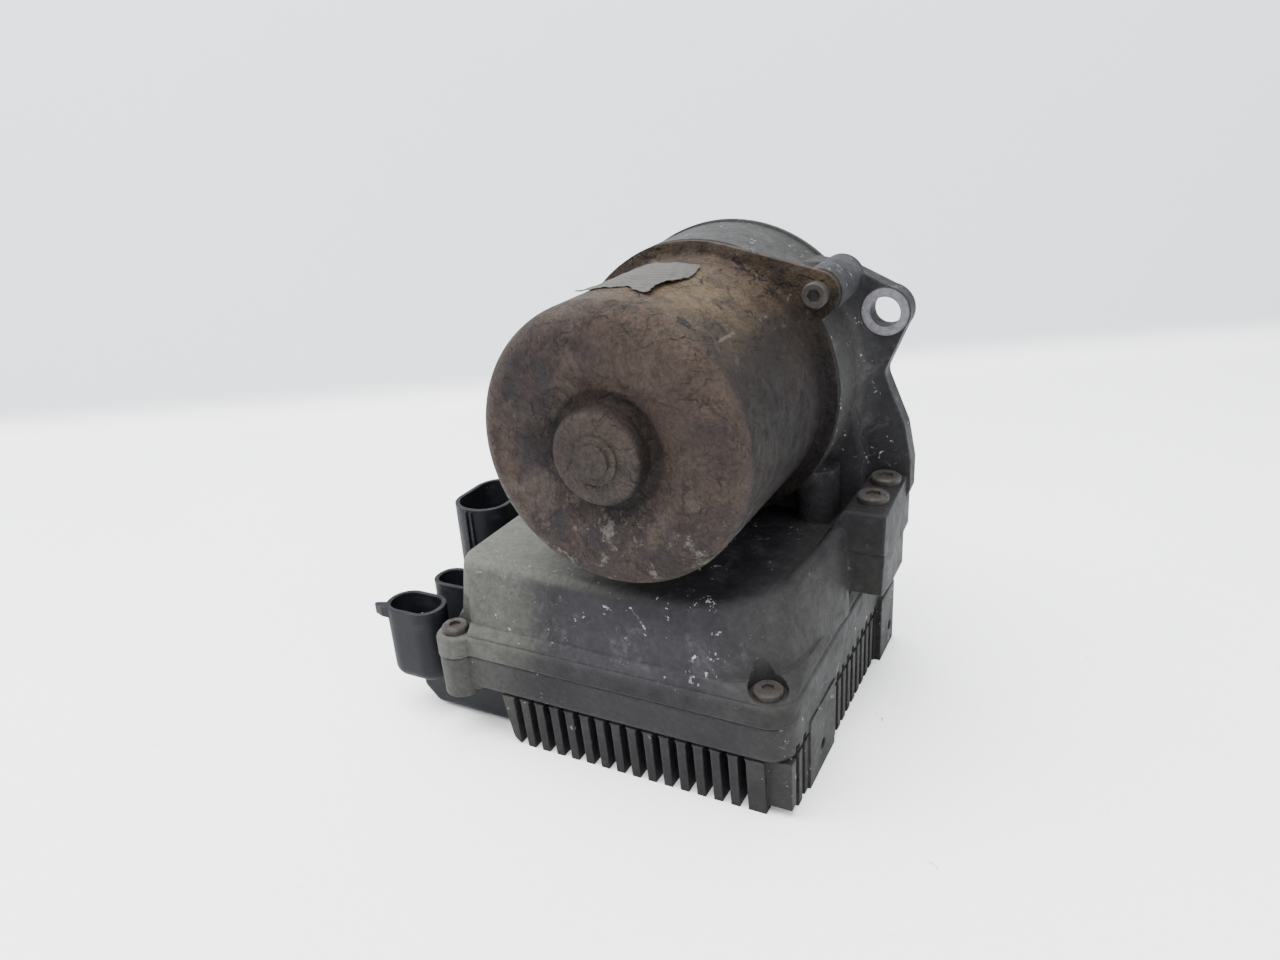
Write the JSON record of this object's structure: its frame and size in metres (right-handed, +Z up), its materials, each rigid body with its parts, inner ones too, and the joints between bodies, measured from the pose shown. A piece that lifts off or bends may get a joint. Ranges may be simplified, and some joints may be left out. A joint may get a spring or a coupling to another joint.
{
  "type": "electric power steering control unit",
  "caption": "Electric power steering motor with its control unit: steel motor can on a cast housing with a finned heat sink, side plug sockets and a jaw coupling on the shaft.",
  "frame": {"origin": "on the motor axis, in the plane of the mounting ears' rear faces", "axes": "+Y along the motor axis to the drive end, +X to the side with the corner pillar and the mounting ear above it, +Z up from the heat sink fins to the motor"},
  "size_m": [0.1766, 0.1286, 0.1713],
  "materials": {
    "cast_aluminium": "dark weathered die casting, matte",
    "base_aluminium": "dark weathered die casting with white corrosion specks",
    "rusty_steel": "brown rusted sheet steel, matte and flaking",
    "connector_plastic": "matte blue-black moulding",
    "contact_metal": "tinned contact metal",
    "rubber_seal": "soft matte rubber",
    "screw_steel": "zinc plated, dulled and stained",
    "bearing_steel": "ground steel",
    "shaft_steel": "turned steel",
    "lamination_steel": "stacked sheet steel",
    "winding_copper": "enamelled copper",
    "insulator_plastic": "natural nylon",
    "magnet_grey": "coated magnet",
    "module_aluminium": "satin plate",
    "board_green": "coated circuit board",
    "component_black": "moulded component cases",
    "capacitor_metal": "drawn aluminium cans",
    "spider_rubber": "hard elastomer",
    "label_paper": "weathered blank label film"
  },
  "bodies": {
    "housing": {"housing_cover": "cast_aluminium", "heat_sink_base": "base_aluminium", "cover_gasket": "rubber_seal", "connector_header": "connector_plastic", "header_seal": "rubber_seal", "power_blades": "contact_metal", "bus_pins": "contact_metal", "sensor_pins": "contact_metal", "cover_screws": "screw_steel", "ledge_screws": "screw_steel", "motor_can": "rusty_steel", "can_screws": "screw_steel", "can_seal": "rubber_seal", "label_remnant": "label_paper", "stator_core": "lamination_steel", "front_insulator": "insulator_plastic", "rear_insulator": "insulator_plastic", "stator_windings": "winding_copper", "terminal_ring": "insulator_plastic", "phase_busbars": "winding_copper", "power_module": "module_aluminium", "power_transistors": "component_black", "circuit_board": "board_green", "board_screws": "screw_steel", "capacitors": "capacitor_metal", "filter_choke": "component_black", "relay": "component_black", "control_chips": "component_black", "spring_washer": "bearing_steel", "front_outer_race": "bearing_steel", "drive_outer_race": "bearing_steel", "bearing_circlip": "bearing_steel", "resolver_stator": "lamination_steel", "register_o_ring": "rubber_seal"},
    "rotor": {"rotor_shaft": "shaft_steel", "rotor_core": "lamination_steel", "rotor_magnets": "magnet_grey", "magnet_sleeve": "bearing_steel", "front_inner_race": "bearing_steel", "drive_inner_race": "bearing_steel", "resolver_rotor": "lamination_steel", "drive_hub": "shaft_steel", "coupling_spider": "spider_rubber"},
    "front_cage_body": {"front_cage": "insulator_plastic", "front_balls": "bearing_steel"},
    "drive_cage_body": {"drive_cage": "insulator_plastic", "drive_balls": "bearing_steel"}
  },
  "joints": [
    {"name": "rotor_spin", "type": "hinge", "parent": "housing", "child": "rotor", "pos_m": [0, 0, 0], "axis": [0, 1, 0], "continuous": true},
    {"name": "front_cage_spin", "type": "hinge", "parent": "housing", "child": "front_cage_body", "pos_m": [0, 0, 0], "axis": [0, 1, 0], "continuous": true},
    {"name": "drive_cage_spin", "type": "hinge", "parent": "housing", "child": "drive_cage_body", "pos_m": [0, 0, 0], "axis": [0, 1, 0], "continuous": true}
  ],
  "couplings": [
    {"joint": "front_cage_spin", "follows": "rotor_spin", "ratio": 0.3722},
    {"joint": "drive_cage_spin", "follows": "rotor_spin", "ratio": 0.384}
  ]
}
